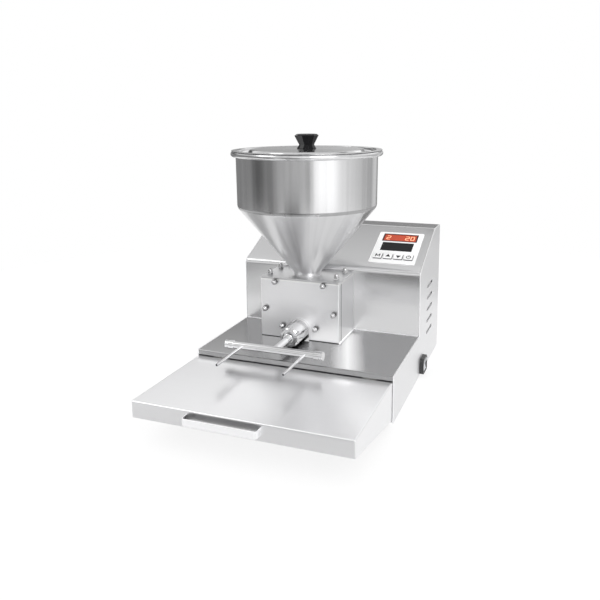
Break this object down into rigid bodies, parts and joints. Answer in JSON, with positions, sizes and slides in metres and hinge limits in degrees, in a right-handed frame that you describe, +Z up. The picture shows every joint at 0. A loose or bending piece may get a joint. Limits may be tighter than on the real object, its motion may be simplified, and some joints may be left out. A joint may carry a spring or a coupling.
{
  "type": "pastry filling machine",
  "caption": "Counter-top pastry filler: a conical hopper feeds a gear pump that pushes filling through a bar with needles over a pull-out tray.",
  "frame": {"origin": "on the table, under the middle of the cabinet's footprint", "axes": "+X to the operator's right, +Y from the operator to the back of the machine, +Z up"},
  "size_m": [0.3901, 0.6695, 0.4897],
  "materials": {
    "stainless_sheet": "fine brushed sheet",
    "stainless_spun": "spun, polished round the axis",
    "stainless_machined": "ground satin",
    "stainless_tube": "polished tube",
    "polished_fasteners": "polished stainless",
    "food_seal": "white silicone",
    "bush_bronze": "sintered bronze",
    "foot_rubber": "moulded matt",
    "slide_nylon": "natural nylon",
    "knob_black": "moulded gloss",
    "panel_white": "satin overlay",
    "key_white": "satin moulded",
    "window_red": "tinted lens",
    "window_black": "tinted lens",
    "display_grey": "moulded matt",
    "board_green": "solder mask",
    "standoff_brass": "turned",
    "switch_black": "moulded satin",
    "rocker_grey": "moulded gloss",
    "bracket_zinc": "zinc plated",
    "gearbox_alloy": "die cast",
    "motor_paint": "black enamel",
    "supply_alloy": "folded sheet",
    "gland_black": "moulded nylon"
  },
  "bodies": {
    "cabinet": {"base_deck": "stainless_sheet", "housing_cover": "stainless_sheet", "side_panel_left": "stainless_sheet", "side_panel_right": "stainless_sheet", "rear_panel": "stainless_sheet", "bottom_plate": "stainless_sheet", "hopper_shell": "stainless_spun", "hopper_flange": "stainless_spun", "pump_body": "stainless_machined", "pump_cover": "stainless_machined", "outlet_spigot": "stainless_machined", "feed_tube": "stainless_tube", "needle_bar": "stainless_tube", "bar_caps": "stainless_tube", "filling_needles": "stainless_tube", "dome_nuts": "polished_fasteners", "clamp_studs": "polished_fasteners", "rear_screws": "polished_fasteners", "foot_screws": "polished_fasteners", "mount_bolts": "polished_fasteners", "drive_screws": "polished_fasteners", "cover_seal": "food_seal", "union_seal": "food_seal", "hopper_gasket": "food_seal", "shaft_seal": "food_seal", "shaft_bushes": "bush_bronze", "rubber_feet": "foot_rubber", "tray_rails": "slide_nylon", "tray_guides": "slide_nylon", "control_frame": "panel_white", "upper_window": "window_red", "lower_window": "window_black", "display_modules": "display_grey", "control_board": "board_green", "board_standoffs": "standoff_brass", "switch_body": "switch_black", "backing_plate": "bracket_zinc", "motor_bracket": "bracket_zinc", "gearbox": "gearbox_alloy", "motor": "motor_paint", "power_supply": "supply_alloy", "cable_gland": "gland_black", "gland_locknut": "gland_black"},
    "pull_out_tray": {"tray": "stainless_sheet", "tray_handle": "stainless_sheet"},
    "hopper_lid": {"lid": "stainless_spun", "lid_knob": "knob_black", "knob_screw": "polished_fasteners"},
    "mode_key": {"key_mode": "key_white"},
    "up_key": {"key_up": "key_white"},
    "down_key": {"key_down": "key_white"},
    "start_key": {"key_start": "key_white"},
    "power_rocker": {"rocker": "rocker_grey"},
    "drive_train": {"drive_gear": "stainless_machined", "drive_shaft": "stainless_machined", "shaft_coupling": "bracket_zinc", "output_shaft": "stainless_machined"},
    "driven_train": {"driven_gear": "stainless_machined"},
    "union": {"union_nut": "stainless_machined"}
  },
  "joints": [
    {"name": "tray_slide", "type": "slide", "parent": "cabinet", "child": "pull_out_tray", "axis": [0, 1, 0], "range_m": [0, 0.196]},
    {"name": "lid_lift", "type": "slide", "parent": "cabinet", "child": "hopper_lid", "axis": [0, 0, 1], "range_m": [0, 0.15]},
    {"name": "mode_press", "type": "slide", "parent": "cabinet", "child": "mode_key", "axis": [0, 0.3939, -0.9191], "range_m": [0, 0.0008], "stiffness_N_per_m": 2500},
    {"name": "up_press", "type": "slide", "parent": "cabinet", "child": "up_key", "axis": [0, 0.3939, -0.9191], "range_m": [0, 0.0008], "stiffness_N_per_m": 2500},
    {"name": "down_press", "type": "slide", "parent": "cabinet", "child": "down_key", "axis": [0, 0.3939, -0.9191], "range_m": [0, 0.0008], "stiffness_N_per_m": 2500},
    {"name": "start_press", "type": "slide", "parent": "cabinet", "child": "start_key", "axis": [0, 0.3939, -0.9191], "range_m": [0, 0.0008], "stiffness_N_per_m": 2500},
    {"name": "power_rock", "type": "hinge", "parent": "cabinet", "child": "power_rocker", "pos_m": [0.19, 0.032, 0.0225], "axis": [0, 1, 0], "range_deg": [-18, 0]},
    {"name": "drive_spin", "type": "hinge", "parent": "cabinet", "child": "drive_train", "pos_m": [-0.051, 0, 0.1473], "axis": [0, 1, 0], "continuous": true},
    {"name": "driven_spin", "type": "hinge", "parent": "cabinet", "child": "driven_train", "pos_m": [-0.006, 0, 0.1473], "axis": [0, 1, 0], "continuous": true},
    {"name": "union_turn", "type": "hinge", "parent": "cabinet", "child": "union", "pos_m": [-0.0285, 0, 0.11], "axis": [0, 1, 0], "continuous": true}
  ],
  "couplings": [
    {"joint": "driven_spin", "follows": "drive_spin", "ratio": -1}
  ]
}
